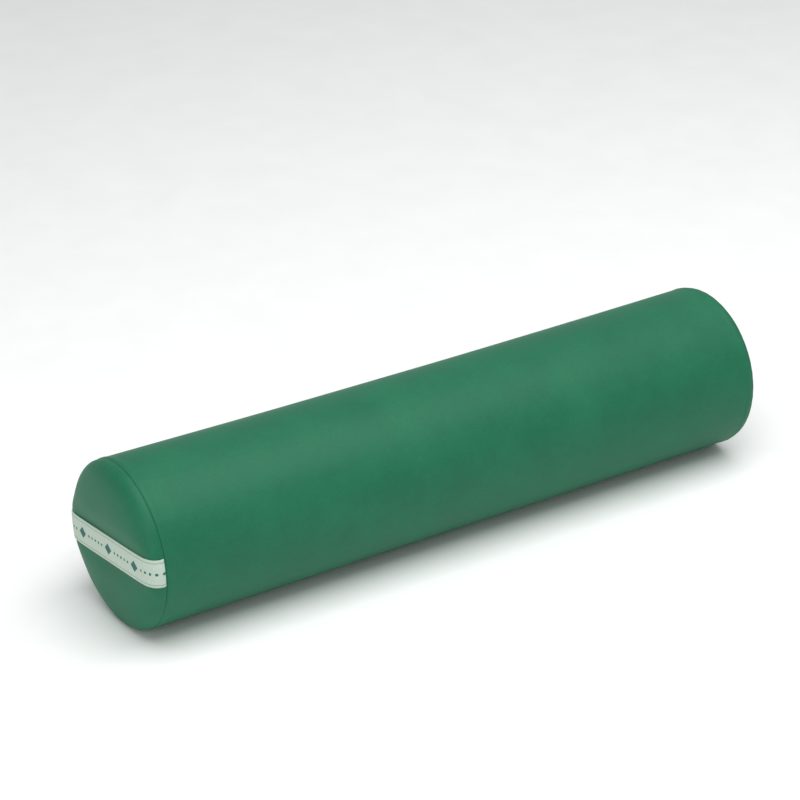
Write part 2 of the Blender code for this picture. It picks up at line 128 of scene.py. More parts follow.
SEAM_X = (barrel_high.x - barrel_low.x) / 2
stitch_low, stitch_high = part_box("zip_topstitch")
SLOT_HALF_LENGTH = (stitch_high.x - stitch_low.x) / 2 - (STITCH_OFFSET - SLOT_HALF_WIDTH)
swing = next(joint for joint in frame["joints"] if joint["name"] == "pull_swing")
ZIP_ANGLE = atan2(swing["pos_m"][1], AXIS_Z - swing["pos_m"][2])  # from the lowest line, round the back


def from_axis(x, angle, radius):
    """The point at a radius from the roll's axis. The angle counts from the lowest line, round the back."""
    return Vector((x, radius * sin(angle), AXIS_Z - radius * cos(angle)))


def bell(distance, width):
    """A smooth hump, 1 at its middle and close to nothing two widths away."""
    return exp(-((distance / width) ** 2))


def rest_on_floor(point):
    """Presses what would sink below the floor flat, with a soft shoulder."""
    point.z = (point.z + sqrt(point.z**2 + BASE_SOFTNESS**2)) / 2
    return point


def dimples(angle, side):
    """Uneven gathers round an end seam, mostly between 0 and 1."""
    around = Vector((cos(angle), sin(angle), 0.7 * side))
    shift = DIMPLE_WANDER * noise.noise(around * 3)
    share = 0.5 + 0.5 * cos(DIMPLES_AROUND * angle + shift * pi)
    return share * (DIMPLE_MEAN + DIMPLE_SPREAD * noise.noise(around * 4.3 + Vector((5, 1, 2))))


def sleeve_radius(x, angle):
    """How far the sleeve's outer face is from the roll's axis."""
    along = (x - MIDDLE_X) / SEAM_X
    from_seam = SEAM_X - abs(x - MIDDLE_X)
    from_zip = abs((angle - ZIP_ANGLE + pi) % (2 * pi) - pi) * RADIUS
    past_slot = abs(x - MIDDLE_X) - SLOT_HALF_LENGTH
    top = max(0.0, -cos(angle))
    side = 1 if along > 0 else -1
    radius = RADIUS - WAIST_DIP * (1 - along**2) * top**2
    radius += SEAM_RIDGES[side] * bell(from_seam - SEAM_RIDGE_PLACE, SEAM_RIDGE_WIDTH)
    radius -= SEAM_TUCK * exp(-from_seam / SEAM_TUCK_WIDTH)
    radius -= DIMPLE_DEPTH * dimples(angle, side) * bell(from_seam - DIMPLE_PLACE, DIMPLE_REACH)
    place = from_axis(x, angle, RADIUS)
    drift = Vector((place.x * DRIFTS_ALONG, place.y * DRIFTS_ACROSS, place.z * DRIFTS_ACROSS))
    radius += SHEET_DRIFT * noise.noise(drift)
    to_slot_edge = hypot(max(0.0, from_zip - SLOT_HALF_WIDTH), max(0.0, past_slot))
    radius -= SLOT_EDGE_SINK * bell(to_slot_edge, SLOT_EDGE_WIDTH)
    to_stitches = from_zip - STITCH_OFFSET
    if past_slot >= 0:
        to_stitches = to_slot_edge - (STITCH_OFFSET - SLOT_HALF_WIDTH)
    radius -= STITCH_SINK * bell(to_stitches, STITCH_SINK_WIDTH)
    if past_slot > 0:
        seam_share = min(1.0, past_slot / LONG_SEAM_START)
        radius -= LONG_SEAM_TUCK * exp(-from_zip / LONG_SEAM_TUCK_WIDTH) * seam_share
    return radius


def both_ways(values):
    """The values with their negatives before them, in rising order."""
    return [-value for value in reversed(values) if value] + list(values)


def evenly(start, end, step):
    """Values from start to end that are about a step apart, without the two ends."""
    count = max(1, round((end - start) / step))
    return [start + (end - start) * i / count for i in range(1, count)]


def mesh_object(name, points, faces, material):
    """A mesh piece, shaded smooth but for its sharp edges. A closed shape is turned to face outwards."""
    bm = bmesh.new()
    corners = [bm.verts.new(point) for point in points]
    for face in faces:
        bm.faces.new([corners[index] for index in face])
    if all(len(edge.link_faces) == 2 for edge in bm.edges):
        bmesh.ops.recalc_face_normals(bm, faces=bm.faces)
    for edge in bm.edges:
        edge.smooth = len(edge.link_faces) != 2 or edge.calc_face_angle() < SHARP_ANGLE
    for face in bm.faces:
        face.smooth = True
    mesh = bpy.data.meshes.new(name)
    bm.to_mesh(mesh)
    bm.free()
    mesh.materials.append(material)
    piece = bpy.data.objects.new(name, mesh)
    bpy.context.scene.collection.objects.link(piece)
    return piece


def apply_modifiers(piece):
    """Replaces a piece's mesh by the one that its modifiers give."""
    bpy.context.view_layer.update()
    evaluated = piece.evaluated_get(bpy.context.evaluated_depsgraph_get())
    mesh = bpy.data.meshes.new_from_object(evaluated)
    piece.modifiers.clear()
    piece.data = mesh


def thicken(piece, thickness):
    """Gives a sheet its thickness, inwards from the face that shows."""
    solidify = piece.modifiers.new("thickness", "SOLIDIFY")
    solidify.thickness = thickness
    solidify.offset = -1.0
    apply_modifiers(piece)


def build_sleeve():
    """The sheet with its slot, and both its round edges turned in for the end seams."""
    near_zip = [row / 1000 / RADIUS for row in ZIP_ROWS]
    around = both_ways(near_zip) + evenly(near_zip[-1], 2 * pi - near_zip[-1], AROUND_STEP)
    at_slot_end = [SLOT_HALF_LENGTH + row / 1000 for row in SLOT_END_ROWS]
    at_seam = [SEAM_X - row / 1000 for row in reversed(SEAM_ROWS)]
    half = evenly(0, at_slot_end[0], ALONG_STEP) + at_slot_end
    half += evenly(at_slot_end[-1], at_seam[0], ALONG_STEP) + at_seam
    along = both_ways([0.0] + half)
    points = []
    for x in along:
        for turn in around:
            place, angle = MIDDLE_X + x, ZIP_ANGLE + turn
            points.append(rest_on_floor(from_axis(place, angle, sleeve_radius(place, angle))))
    count = len(around)
    slot_turn = SLOT_HALF_WIDTH / RADIUS + 1e-5
    faces = []
    for i in range(len(along) - 1):
        beside_slot = abs(along[i] + along[i + 1]) / 2 < SLOT_HALF_LENGTH
        for j in range(count):
            after = (j + 1) % count
            if beside_slot and abs(around[j]) < slot_turn and abs(around[after]) < slot_turn:
                continue
            faces.append((i * count + j, i * count + after, (i + 1) * count + after, (i + 1) * count + j))
    for end, row in ((-1, 0), (1, len(along) - 1)):
        start = len(points)
        for depth in SEAM_ALLOWANCE_ROWS:
            for seam_point in points[row * count : (row + 1) * count]:
                toward = Vector((0, -seam_point.y, AXIS_Z - seam_point.z)).normalized()
                points.append(seam_point + toward * depth)
        rings = [row * count] + [start + k * count for k in range(len(SEAM_ALLOWANCE_ROWS))]
        for outer, inner in zip(rings, rings[1:]):
            for j in range(count):
                after = (j + 1) % count
                face = (outer + j, outer + after, inner + after, inner + j)
                faces.append(face if end > 0 else face[::-1])
    used = sorted({index for face in faces for index in face})
    renumber = {old: new for new, old in enumerate(used)}
    return [points[index] for index in used], [tuple(renumber[index] for index in face) for face in faces]


def linear(hex_colour):
    """An sRGB hex colour as the linear values that shaders use."""
    values = [int(hex_colour[i : i + 2], 16) / 255 for i in (1, 3, 5)]
    return (*(v / 12.92 if v <= 0.04045 else ((v + 0.055) / 1.055) ** 2.4 for v in values), 1.0)


def node(tree, kind, settings=None, links=None):
    """Adds one node. Settings are its properties, inputs or colour stops, and links what feeds it."""
    made = tree.nodes.new(kind)
    for name, value in (settings or {}).items():
        if name == "stops":
            stops = made.color_ramp.elements
            while len(stops) < len(value):
                stops.new(1.0)
            for stop, (position, colour) in zip(stops, value):
                stop.position = position
                stop.color = linear(colour)
        elif isinstance(name, int) or not hasattr(made, name):
            made.inputs[name].default_value = value
        else:
            setattr(made, name, value)
    for name, feed in (links or {}).items():
        tree.links.new(feed if hasattr(feed, "is_output") else feed.outputs[0], made.inputs[name])
    return made


def new_surface(name, **settings):
    """A material with its Principled shader, whose even values are set on its own sockets."""
    material = bpy.data.materials.new(name)
    material.use_nodes = True
    shader = material.node_tree.nodes["Principled BSDF"]
    for key, value in settings.items():
        shader.inputs[key.replace("_", " ")].default_value = value
    return material, material.node_tree, shader


# PU leatherette: a knit coated with polyurethane and calendered with a fine pebble grain. The film is an
# even satin with soft, broad highlights, and its green drifts very slightly in patches.
GRAIN_MM = 0.9  # from pebble to pebble
PORE_MM = 0.4  # between the fine pores in the film
PATCH_MM = 70.0  # across a lighter or darker patch
green_leatherette, tree, shader = new_surface("embossed_pu_leatherette", IOR=1.5, Specular_IOR_Level=0.2)
place = node(tree, "ShaderNodeTexCoord").outputs["Object"]
pebbles = node(
    tree, "ShaderNodeTexVoronoi", {"feature": "SMOOTH_F1", "Scale": 1000 / GRAIN_MM, "Smoothness": 0.35},
    {"Vector": place},
)
pores = node(tree, "ShaderNodeTexNoise", {"Scale": 1000 / PORE_MM, "Detail": 2.0}, {"Vector": place})
patches = node(
    tree, "ShaderNodeTexNoise", {"Scale": 1000 / PATCH_MM, "Detail": 6.0, "Roughness": 0.68},
    {"Vector": place},
)
tone = node(
    tree, "ShaderNodeValToRGB", {"stops": [(0.3, "#1b674a"), (0.5, "#1f6d4f"), (0.7, "#237353")]},
    {"Fac": patches},
)
# The valleys between the pebbles are painted darker: painted shade in the grain's recesses, multiplied over
# the patchy green.
painted_valley_shade = node(tree, "ShaderNodeValToRGB", {"stops": [(0.0, "#ffffff"), (0.75, "#d9dedb")]}, {"Fac": pebbles})
tone_and_painted_valley_shade = node(
    tree, "ShaderNodeMix", {"data_type": "RGBA", "blend_type": "MULTIPLY", 0: 0.7}, {6: tone, 7: painted_valley_shade}
).outputs[2]
tree.links.new(tone_and_painted_valley_shade, shader.inputs["Base Color"])
gloss = node(
    tree, "ShaderNodeMapRange", {"From Min": 0.35, "From Max": 0.65, "To Min": 0.44, "To Max": 0.54},
    {"Value": patches},
)
tree.links.new(gloss.outputs[0], shader.inputs["Roughness"])
height = node(tree, "ShaderNodeMath", {"operation": "MULTIPLY_ADD", 1: 0.3}, {0: pores, 2: pebbles})
bump = node(
    tree, "ShaderNodeBump", {"Strength": 0.5, "Distance": 0.0001, "invert": True}, {"Height": height}
)
tree.links.new(bump.outputs[0], shader.inputs["Normal"])

sleeve = mesh_object("barrel_sleeve", *build_sleeve(), green_leatherette)
thicken(sleeve, SHEET_THICKNESS)
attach(sleeve, "bolster")
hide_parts("barrel_panel")

# --------------------------------------------------------------------------------------------------
# End panels: a disc of the same leatherette at each end, sewn round its edge and crowned by the wadding
# behind it. The strap end is full, with a nearly flat middle, and the taut strap presses a channel across
# it. The plain end is crowned less, and it curves in from further inside its rim.

# Each end's height past its seam, and the two powers that shape its shoulder.
CROWNS = {-1: (0.017, 4.5, 0.425), 1: (0.0108, 4.0, 0.65)}
STRAP_WIDTH = 0.025
STRAP_THICKNESS = 0.0012
STRAP_TURN = radians(-6.5)  # the roll lies turned a little, so the strap's front end is the higher one
STRAP_REACH = 0.0138  # from the seam out to the strap's inner face, where it is taut across the end
STRAP_RISE, STRAP_FULLNESS = 10, 0.3  # the two powers that shape the strap's shoulders
PRESS_SPREAD = 0.011  # how far beside the strap the panel is still drawn in
PRESS_CLEARANCE = 0.00025
PRESS_RIM_SHARE = 0.01  # the channel runs out over this share of the radius, at the rim
LOW_SLACK = 0.22  # the panel is drawn in by this share where it nears the floor
PANEL_SLACK = 0.0004  # slow unevenness of the wadding under the panel
PANEL_SLACKS_PER_M = 30
PANEL_SLACK_START = 0.008  # it is full this far out of the seam
PANEL_TURNS = 200  # mesh columns round a panel, and its rings, by their share of the radius
PANEL_RINGS = [sin(pi / 2 * i / 46) for i in range(1, 44)] + [0.9965, 0.9985, 0.9995, 1.0]


def crown_height(share, side):
    """How far an end stands out of its seam, before the strap presses on it."""
    crown, rise, fullness = CROWNS[side]
    return crown * max(0.0, 1 - share**rise) ** fullness


def strap_inner(share):
    """How far out of the seam the strap's inner face lies, where it is taut across the end."""
    return STRAP_REACH * max(0.0, 1 - share**STRAP_RISE) ** STRAP_FULLNESS


def panel_out(radius, angle, side):
    """How far out of the seam the end panel lies."""
    share = min(1.0, radius / RADIUS)
    out = crown_height(share, side) * (1 - LOW_SLACK * max(0.0, cos(angle)) ** 2 * share**2)
    if side < 0:
        across, along = -radius * cos(angle - STRAP_TURN), radius * sin(angle - STRAP_TURN)
        chord = sqrt(max(1e-9, RADIUS**2 - min(abs(across), STRAP_WIDTH / 2) ** 2))
        pressed = out - (strap_inner(min(1.0, abs(along) / chord)) - PRESS_CLEARANCE)
        beside = max(0.0, abs(across) - STRAP_WIDTH / 2)
        rim_share = min(1.0, (1 - share) / PRESS_RIM_SHARE)
        out = max(0.0, out - pressed * bell(beside, PRESS_SPREAD) * rim_share)
    return out


def ring_faces(first, turns):
    """The faces between a ring of points and the next ring out."""
    after = first + turns
    return [
        (first + j, after + j, after + (j + 1) % turns, first + (j + 1) % turns) for j in range(turns)
    ]


def build_end_panel(side):
    """The crowned disc, from its middle out to the seam and round into the seam allowance."""
    seam = MIDDLE_X + side * (SEAM_X + SEAM_HALF_GAP)
    angles = [2 * pi * j / PANEL_TURNS for j in range(PANEL_TURNS)]
    points = []
    for share in [0.0] + PANEL_RINGS:
        for angle in angles if share else [0.0]:
            radius = share * RADIUS
            out = panel_out(radius, angle, side)
            from_seam = out + (RADIUS - radius)
            radius -= SEAM_TUCK * exp(-from_seam / SEAM_TUCK_WIDTH)
            dimple = dimples(angle, side + 0.3) * bell(from_seam - DIMPLE_PLACE, DIMPLE_REACH)
            radius -= DIMPLE_DEPTH * dimple
            slack = Vector((0, sin(angle), cos(angle))) * radius * PANEL_SLACKS_PER_M
            slack.x = side * 7  # a different pattern at each end
            out += PANEL_SLACK * noise.noise(slack) * min(1.0, out / PANEL_SLACK_START)
            points.append(rest_on_floor(from_axis(seam + side * out, angle, radius)))
    for depth in SEAM_ALLOWANCE_ROWS:
        points += [rest_on_floor(from_axis(seam, angle, RADIUS - SEAM_TUCK - depth)) for angle in angles]
    faces = [(0, 1 + j, 1 + (j + 1) % PANEL_TURNS) for j in range(PANEL_TURNS)]
    for first in range(1, len(points) - PANEL_TURNS, PANEL_TURNS):
        faces += ring_faces(first, PANEL_TURNS)
    return points, faces if side > 0 else [face[::-1] for face in faces]


for side, name in ((-1, "strap_end"), (1, "plain_end")):
    panel = mesh_object(f"{name}_cover", *build_end_panel(side), green_leatherette)
    thicken(panel, SHEET_THICKNESS)
    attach(panel, "bolster")
    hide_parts(f"{name}_panel")

# --------------------------------------------------------------------------------------------------
# Filling: a core cut from polyurethane foam, wrapped in polyester wadding, with a crowned pad of wadding
# at each end. None of it shows while the cover is closed. Each pad follows the back of its end panel.

# Cut foam: open cells, so it is dull and pitted. Its colour is cream at the mouth of each cell and darker
# down inside it, which is painted shade in the hollows.
FOAM_CELL_MM = 1.4
foam, tree, shader = new_surface("cut_polyurethane_foam", Roughness=0.95, IOR=1.45)
place = node(tree, "ShaderNodeTexCoord").outputs["Object"]
cells = node(
    tree, "ShaderNodeTexVoronoi", {"feature": "DISTANCE_TO_EDGE", "Scale": 1000 / FOAM_CELL_MM},
    {"Vector": place},
)
cream_with_painted_cell_shade = node(
    tree, "ShaderNodeValToRGB", {"stops": [(0.0, "#efe6c6"), (0.35, "#d9cba0")]}, {"Fac": cells}
)
tree.links.new(cream_with_painted_cell_shade.outputs[0], shader.inputs["Base Color"])
bump = node(tree, "ShaderNodeBump", {"Strength": 0.8, "Distance": 0.0005, "invert": True}, {"Height": cells})
tree.links.new(bump.outputs[0], shader.inputs["Normal"])
frame["nodes"]["foam_core"].data.materials[0] = foam

# Carded wadding: a web of loose white fibres, which is matt with a faint bloom.
TUFT_MM = 4.2
wadding, tree, shader = new_surface("carded_polyester_wadding", Roughness=1.0, Sheen_Weight=0.3)
place = node(tree, "ShaderNodeTexCoord").outputs["Object"]
fibres = node(
    tree, "ShaderNodeTexNoise",
    {"Scale": 1000 / TUFT_MM, "Detail": 8.0, "Roughness": 0.7, "Distortion": 2.5}, {"Vector": place},
)
fibre_colour = node(
    tree, "ShaderNodeValToRGB", {"stops": [(0.3, "#dfe2df"), (0.7, "#f6f7f5")]}, {"Fac": fibres}
)
tree.links.new(fibre_colour.outputs[0], shader.inputs["Base Color"])
bump = node(tree, "ShaderNodeBump", {"Strength": 0.7, "Distance": 0.0012}, {"Height": fibres})
tree.links.new(bump.outputs[0], shader.inputs["Normal"])

PAD_CLEARANCE = SHEET_THICKNESS + 0.0008  # from the cover's outer face
CORE_CLEARANCE = 0.0003
WRAP_OPEN_HALF_WIDTH = 0.0175  # the wadding leaves this much free on each side of the zip's middle line
WRAP_AROUND_STEP, WRAP_ALONG_STEP = radians(3), 0.012
core_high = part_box("foam_core")[1]
wrap_low, wrap_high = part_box("wadding_wrap")


def build_wrap():
    """The wadding round the core: it follows the sleeve, and its two long edges stop beside the zip."""
    opening = WRAP_OPEN_HALF_WIDTH / RADIUS
    around = [opening] + evenly(opening, 2 * pi - opening, WRAP_AROUND_STEP) + [2 * pi - opening]
    along = [wrap_low.x] + evenly(wrap_low.x, wrap_high.x, WRAP_ALONG_STEP) + [wrap_high.x]
    section = [(turn, True) for turn in around] + [(turn, False) for turn in reversed(around)]
    points = []
    for x in along:
        for turn, outer in section:
            angle = ZIP_ANGLE + turn
            if outer:
                point = from_axis(x, angle, sleeve_radius(x, angle) - PAD_CLEARANCE)
                point.z = max(point.z, PAD_CLEARANCE)
            else:
                point = from_axis(x, angle, core_high.y + CORE_CLEARANCE)
            points.append(point)
    count, faces = len(section), []
    for first in range(0, len(points) - count, count):
        faces += ring_faces(first, count)
    last = len(points) - count
    for j in range(len(around) - 1):
        for start in (0, last):
            faces.append(tuple(start + k for k in (j, j + 1, count - 2 - j, count - 1 - j)))
    return points, faces


wrap = mesh_object("wadding_layer", *build_wrap(), wadding)
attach(wrap, "bolster")
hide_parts("wadding_wrap")

PAD_TURNS, PAD_RINGS = 96, 16  # mesh columns round a pad, and rings
PAD_LEAST_OUT = 0.002


def build_pad(side, node_name):
    """A pad of wadding: flat where it meets the core, and following its end panel in front."""
    pad_low, pad_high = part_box(node_name)
    back = pad_high.x if side < 0 else pad_low.x
    angles = [2 * pi * j / PAD_TURNS for j in range(PAD_TURNS)]
    points = []
    for ring in range(PAD_RINGS + 1):
        radius = pad_high.y * sin(pi / 2 * ring / PAD_RINGS)
        for angle in angles if ring else [0.0]:
            out = max(PAD_LEAST_OUT, panel_out(radius, angle, side) - PAD_CLEARANCE)
            points.append(from_axis(MIDDLE_X + side * (SEAM_X + out), angle, radius))
    points += [from_axis(back, angle, pad_high.y) for angle in angles]
    points.append(from_axis(back, 0, 0))
    faces = [(0, 1 + j, 1 + (j + 1) % PAD_TURNS) for j in range(PAD_TURNS)]
    last = len(points) - 1 - PAD_TURNS
    for first in range(1, last, PAD_TURNS):
        faces += ring_faces(first, PAD_TURNS)
    faces += [(last + j, len(points) - 1, last + (j + 1) % PAD_TURNS) for j in range(PAD_TURNS)]
    return points, faces if side > 0 else [face[::-1] for face in faces]


for side, name in ((-1, "strap_end"), (1, "plain_end")):
    pad = mesh_object(f"{name}_pad", *build_pad(side, f"{name}_wadding_pad"), wadding)
    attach(pad, "bolster")
    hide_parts(f"{name}_wadding_pad")

# --------------------------------------------------------------------------------------------------
# Carry strap: a tape 25 mm wide, woven in off-white polyester on a narrow loom, with a fine grey-green
# line inside each edge and a small figure of lozenges and dots in dark teal. Both its ends turn over the
# rim and are caught in the seam of the end panel.

# One end's turn over the rim, then its tail in the seam, as (from the roll's axis, out of the seam).
STRAP_BEND = [(0.0675, 0.012), (0.0712, 0.0103), (0.0736, 0.0082), (0.075, 0.0057), (0.0753, 0.0038)]
STRAP_TAIL = [(0.0748, 0.0024), (0.0738, 0.0016), (0.0722, 0.0014), (0.07, 0.0014)]
TAUT_STEP = 0.0025  # from point to point where the strap is taut
TAUT_POINTS = 26
STRAP_CELL = 0.0006  # mesh rows along the tape
STRAP_CELL_ACROSS = 0.0012
SELVEDGE_RISE, SELVEDGE_WIDTH = 0.00012, 0.0006
RIB_PITCH = 0.0016  # drawn about three times coarser than the real ribs, so that they show
RIB_RISE = 0.00008


def strap_line():
    """The strap's inner face from its front tail to its back tail, as (along, out) in its own plane."""
    taut = [(i * TAUT_STEP, strap_inner(i * TAUT_STEP / RADIUS)) for i in range(TAUT_POINTS)]
    half = taut + STRAP_BEND + STRAP_TAIL
    return [(-along, out) for along, out in half[:0:-1]] + half


def smooth_line(points, step):
    """Points about a step apart along a Catmull-Rom curve through the given ones."""
    line = []
    ends = [Vector(point) for point in [points[0], *points, points[-1]]]
    for p0, p1, p2, p3 in zip(ends, ends[1:], ends[2:], ends[3:]):
        count = max(1, round((p2 - p1).length / step))
        for i in range(count):
            t = i / count
            bend = (2 * p0 - 5 * p1 + 4 * p2 - p3) * t**2 + (3 * p1 - p0 - 3 * p2 + p3) * t**3
            line.append(0.5 * (2 * p1 + (p2 - p0) * t + bend))
    return line + [ends[-1]]


def build_strap():
    """The tape, wrapped over the crowned end, and its cloth places: how far along and across it is."""
    line = smooth_line(strap_line(), STRAP_CELL)
    lengths = [0.0]
    for before, after in zip(line, line[1:]):
        lengths.append(lengths[-1] + (after - before).length)
    edge = STRAP_THICKNESS / 2
    half = STRAP_WIDTH / 2 - edge
    flat = [-half] + evenly(-half, half, STRAP_CELL_ACROSS) + [half]
    round_edge = [pi / 4, pi / 2, 3 * pi / 4]
    section = [(place, STRAP_THICKNESS) for place in flat]
    section += [(half + edge * sin(a), edge + edge * cos(a)) for a in round_edge]
    section += [(place, 0.0) for place in reversed(flat)]
    section += [(-half - edge * sin(a), edge - edge * cos(a)) for a in round_edge]
    points, cloth = [], []
    for i, (along, out) in enumerate(line):
        step = (line[min(i + 1, len(line) - 1)] - line[max(i - 1, 0)]).normalized()
        for across, rise in section:
            if rise > edge:
                rise += SELVEDGE_RISE * bell(abs(across) - half, SELVEDGE_WIDTH)
                rise += RIB_RISE * sin(2 * pi * lengths[i] / RIB_PITCH)
            y = (along - step.y * rise) * sqrt(1 - (across / RADIUS) ** 2)
            points.append(Vector((MIDDLE_X - SEAM_X - out - step.x * rise, y, across)))
            cloth.append((lengths[i] - lengths[-1], across))
    turn = Matrix.Rotation(STRAP_TURN, 3, "X")
    points = [turn @ point + Vector((0, 0, AXIS_Z)) for point in points]
    count = len(section)
    last = len(points) - count
    faces = [tuple(range(count))[::-1], tuple(last + j for j in range(count))]
    for first in range(0, last, count):
        faces += ring_faces(first, count)
    return points, faces, [(along + lengths[-1] / 2, across) for along, across in cloth]


# Woven polyester: matt, ribbed across the tape, with denser selvedges. The figure lies a little proud of
# the ground, and the ground's colour varies from thread to thread.
THREAD_MM = 0.6  # drawn twice as coarse as the real warp threads, so that they show
FIGURE_REPEAT = 0.046
FIGURE_HALF_LENGTH, FIGURE_HALF_WIDTH = 0.0058, 0.0052
DOT_REPEAT = FIGURE_REPEAT / 8
DOT_RADIUS = 0.0013
DOTS_CLEAR = 1.4  # the dots start this many half lozenges away from a lozenge's middle
SLUB_MM, SLUB_LENGTH_MM = 0.42, 3.3  # the uneven stretches of thread, across and along the tape
EDGE_LINE_PLACE, EDGE_LINE_HALF_WIDTH = 0.0099, 0.0003
webbing, tree, shader = new_surface("woven_polyester_tape", Roughness=0.82, IOR=1.5, Sheen_Weight=0.1)
cloth = node(tree, "ShaderNodeUVMap", {"uv_map": "cloth"})
places = node(tree, "ShaderNodeSeparateXYZ", links={"Vector": cloth})
along, across = places.outputs["X"], places.outputs["Y"]
from_middle = node(tree, "ShaderNodeMath", {"operation": "ABSOLUTE"}, {0: across})
to_figure = node(tree, "ShaderNodeMath", {"operation": "PINGPONG", 1: FIGURE_REPEAT / 2}, {0: along})
across_share = node(tree, "ShaderNodeMath", {"operation": "DIVIDE", 1: FIGURE_HALF_WIDTH}, {0: from_middle})
lozenge = node(
    tree, "ShaderNodeMath", {"operation": "MULTIPLY_ADD", 1: 1 / FIGURE_HALF_LENGTH},
    {0: to_figure, 2: across_share},
)
solid_lozenge = node(tree, "ShaderNodeMath", {"operation": "LESS_THAN", 1: 1.0}, {0: lozenge})
to_dot = node(tree, "ShaderNodeMath", {"operation": "PINGPONG", 1: DOT_REPEAT / 2}, {0: along})
dot_place = node(tree, "ShaderNodeCombineXYZ", links={"X": to_dot, "Y": from_middle})
dot_distance = node(tree, "ShaderNodeVectorMath", {"operation": "LENGTH"}, {0: dot_place}).outputs["Value"]
dots = node(tree, "ShaderNodeMath", {"operation": "LESS_THAN", 1: DOT_RADIUS}, {0: dot_distance})
clear_of_figure = node(tree, "ShaderNodeMath", {"operation": "GREATER_THAN", 1: DOTS_CLEAR}, {0: lozenge})
clear_dots = node(tree, "ShaderNodeMath", {"operation": "MULTIPLY"}, {0: dots, 1: clear_of_figure})
figure = node(tree, "ShaderNodeMath", {"operation": "MAXIMUM"}, {0: solid_lozenge, 1: clear_dots})
edge_line = node(
    tree, "ShaderNodeMath", {"operation": "COMPARE", 1: EDGE_LINE_PLACE, 2: EDGE_LINE_HALF_WIDTH},
    {0: from_middle},
)
slub_scale = (1000 / SLUB_LENGTH_MM, 1000 / SLUB_MM, 1.0)
stretched = node(tree, "ShaderNodeMapping", {"Scale": slub_scale}, {"Vector": cloth})
threads = node(tree, "ShaderNodeTexNoise", {"Scale": 1.0, "Detail": 3.0}, {"Vector": stretched})
ground = node(tree, "ShaderNodeValToRGB", {"stops": [(0.3, "#b0c3b4"), (0.7, "#c6d6c7")]}, {"Fac": threads})
teal = node(tree, "ShaderNodeValToRGB", {"stops": [(0.3, "#1a5755"), (0.7, "#267069")]}, {"Fac": threads})
lined = node(
    tree, "ShaderNodeMix", {"data_type": "RGBA", 7: linear("#7f998c")}, {0: edge_line, 6: ground}
).outputs[2]
woven = node(tree, "ShaderNodeMix", {"data_type": "RGBA"}, {0: figure, 6: lined, 7: teal}).outputs[2]
tree.links.new(woven, shader.inputs["Base Color"])
warp = node(tree, "ShaderNodeMath", {"operation": "PINGPONG", 1: THREAD_MM / 2000}, {0: across})
warp_height = node(tree, "ShaderNodeMath", {"operation": "DIVIDE", 1: THREAD_MM / 2000}, {0: warp})
weave = node(tree, "ShaderNodeMath", {"operation": "MULTIPLY_ADD", 1: 0.7}, {0: figure, 2: warp_height})
bump = node(tree, "ShaderNodeBump", {"Strength": 0.8, "Distance": 0.0002}, {"Height": weave})
tree.links.new(bump.outputs[0], shader.inputs["Normal"])

strap_points, strap_faces, strap_cloth = build_strap()
strap = mesh_object("woven_carry_strap", strap_points, strap_faces, webbing)
cloth_map = strap.data.uv_layers.new(name="cloth")
for loop in strap.data.loops:
    cloth_map.data[loop.index].uv = strap_cloth[loop.vertex_index]
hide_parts("carry_strap")
seam_x = MIDDLE_X - SEAM_X
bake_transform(strap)

# --------------------------------------------------------------------------------------------------
# Seam finishing, inside the cover: overlocked edges round both end seams, and a strip of leatherette
# folded over the raw edges of the long seam, past each end of the zip.

# Spun polyester thread: two plies twisted together. Its colour is lighter in slanting stripes, which is
# painted highlight where the plies catch the light.
PLY_MM = 0.8
WAVE_PERIOD = 1000 * 2 * pi / 10  # the scale at which diagonal bands come 1 mm apart
thread, tree, shader = new_surface("spun_polyester_thread", Roughness=0.6, IOR=1.5, Sheen_Weight=0.2)
place = node(tree, "ShaderNodeTexCoord").outputs["Object"]
plies = node(
    tree, "ShaderNodeTexWave",
    {"bands_direction": "DIAGONAL", "Scale": WAVE_PERIOD / PLY_MM, "Distortion": 1.0}, {"Vector": place},
)
green_with_painted_ply_highlights = node(
    tree, "ShaderNodeValToRGB", {"stops": [(0.2, "#1d6b4e"), (0.8, "#2f8a68")]}, {"Fac": plies}
)
tree.links.new(green_with_painted_ply_highlights.outputs[0], shader.inputs["Base Color"])
bump = node(tree, "ShaderNodeBump", {"Strength": 0.6, "Distance": 0.0001}, {"Height": plies})
tree.links.new(bump.outputs[0], shader.inputs["Normal"])
for name in ("strap_end_seam_overlock", "plain_end_seam_overlock"):
    frame["nodes"][name].data.materials[0] = thread
for name in ("long_seam_binding_strap_side", "long_seam_binding_plain_side"):
    frame["nodes"][name].data.materials[0] = green_leatherette

# --------------------------------------------------------------------------------------------------
# Zip: a nylon coil zip, half a metre long, sewn behind the slot in the back of the cover, with a guard flap
# of leatherette under it. Its two coils are sewn to woven tapes, with nickel stops at the ends.

frame["nodes"]["zip_guard_flap"].data.materials[0] = green_leatherette

# Woven zip tape: a close twill of dyed polyester, matt and a little darker than the cover.
TWILL_MM = 1.1  # drawn twice as coarse as the real twill, so that it shows
zip_tape, tree, shader = new_surface("woven_zip_tape", Roughness=0.85, IOR=1.5, Sheen_Weight=0.15)
place = node(tree, "ShaderNodeTexCoord").outputs["Object"]
twill = node(
    tree, "ShaderNodeTexWave",
    {"bands_direction": "DIAGONAL", "Scale": WAVE_PERIOD / TWILL_MM, "Distortion": 0.4}, {"Vector": place},
)
# The twill's raised lines are painted lighter and the grooves between them darker: painted light and shade
# on the weave, over the dyed green.
green_with_painted_twill_shading = node(
    tree, "ShaderNodeValToRGB", {"stops": [(0.2, "#14523c"), (0.8, "#1f6d50")]}, {"Fac": twill}
)
tree.links.new(green_with_painted_twill_shading.outputs[0], shader.inputs["Base Color"])
bump = node(tree, "ShaderNodeBump", {"Strength": 0.5, "Distance": 0.0001}, {"Height": twill})
tree.links.new(bump.outputs[0], shader.inputs["Normal"])
for name in ("zip_tape_upper", "zip_tape_lower"):
    frame["nodes"][name].data.materials[0] = zip_tape

